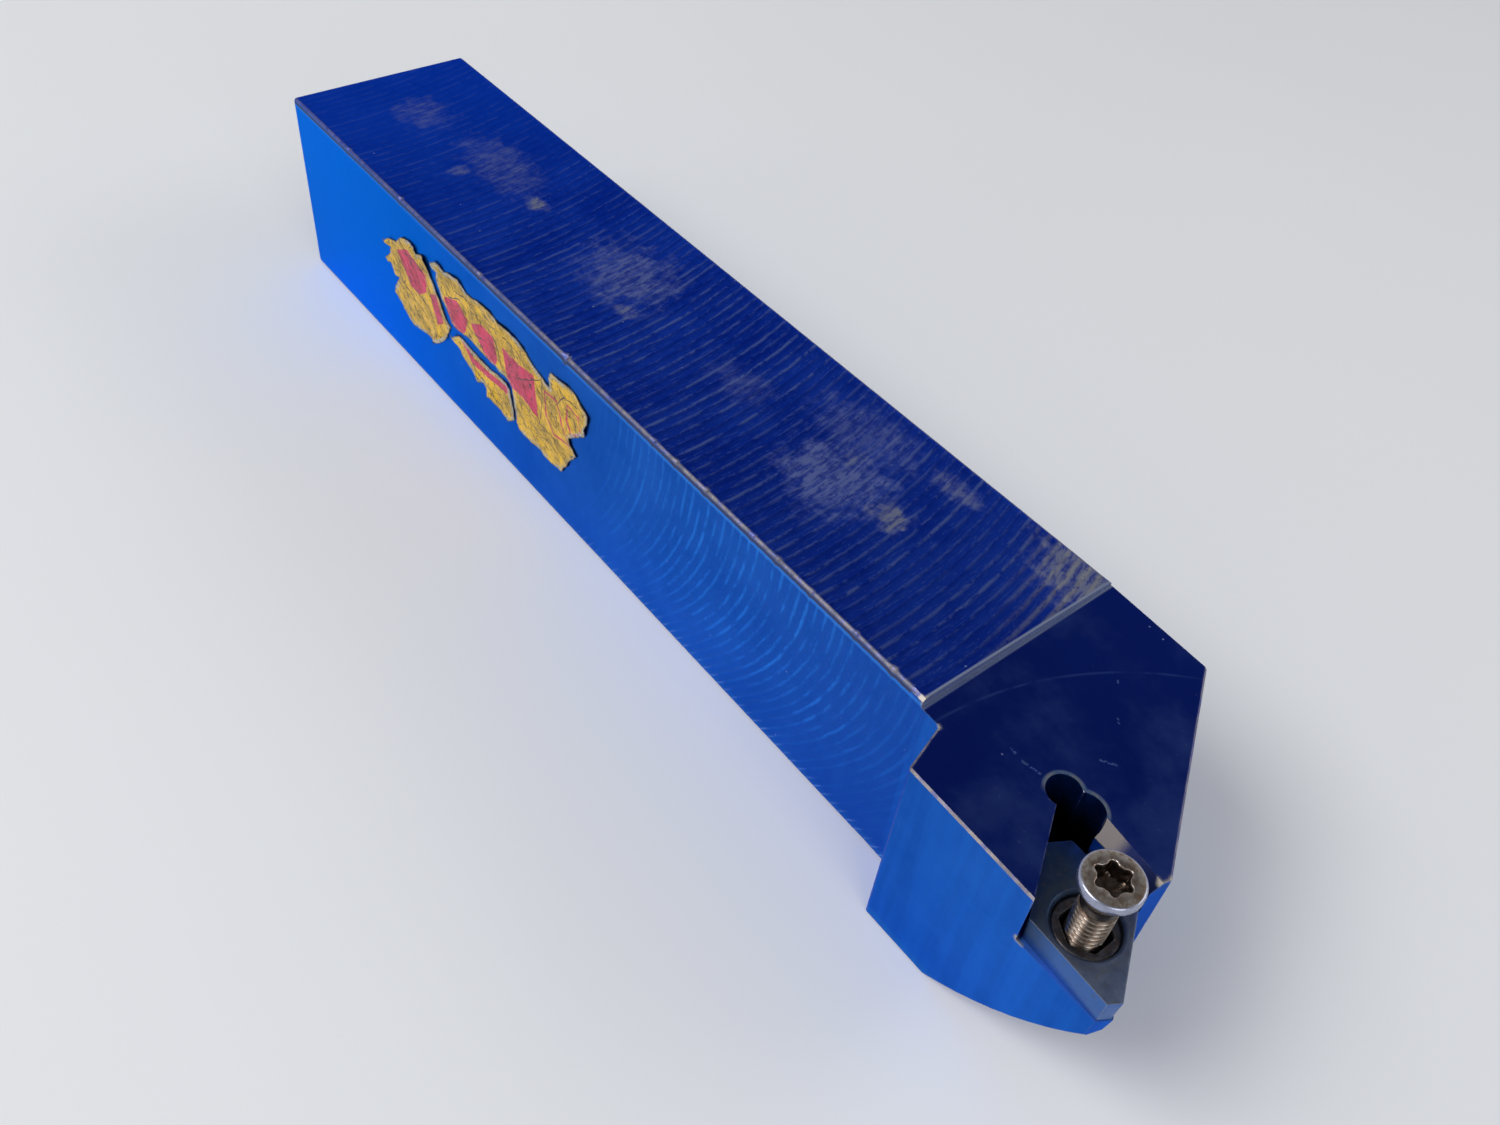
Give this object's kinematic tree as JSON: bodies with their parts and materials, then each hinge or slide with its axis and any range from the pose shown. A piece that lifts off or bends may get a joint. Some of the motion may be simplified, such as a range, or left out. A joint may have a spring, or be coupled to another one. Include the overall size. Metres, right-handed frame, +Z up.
{
  "type": "turning tool holder",
  "caption": "Left-hand square-shank lathe tool holder with an offset head, a rhombic carbide seat held by a threaded sleeve, a raised insert screw and a torn label.",
  "frame": {"origin": "on the base of the shank, in the middle of its width, 60 mm in front of its rear end", "axes": "+X along the shank from its rear end to the cutting tip, +Y to the back side that locates against the tool block, -Y to the side the head is offset to, +Z up"},
  "size_m": [0.1505, 0.0305, 0.0274],
  "materials": {
    "holder_steel": "blued, milled alloy steel with worn edges",
    "carbide": "ground grey carbide",
    "sleeve_steel": "blackened steel",
    "screw_steel": "bright worn steel",
    "label_film": "torn printed adhesive film"
  },
  "bodies": {
    "holder": {"holder_body": "holder_steel", "label_rear_piece": "label_film", "label_front_piece": "label_film", "label_lower_strip": "label_film"},
    "seat": {"shim": "carbide"},
    "sleeve": {"shim_screw": "sleeve_steel"},
    "screw": {"insert_screw": "screw_steel"}
  },
  "joints": [
    {"name": "seat_lift", "type": "slide", "parent": "holder", "child": "seat", "axis": [0, 0, 1], "range_m": [0, 0.009]},
    {"name": "sleeve_travel", "type": "slide", "parent": "seat", "child": "sleeve", "axis": [0, 0, 1], "range_m": [0, 0.009]},
    {"name": "insert_screw_travel", "type": "slide", "parent": "sleeve", "child": "screw", "axis": [0, 0, 1], "range_m": [-0.005, 0.008]}
  ]
}
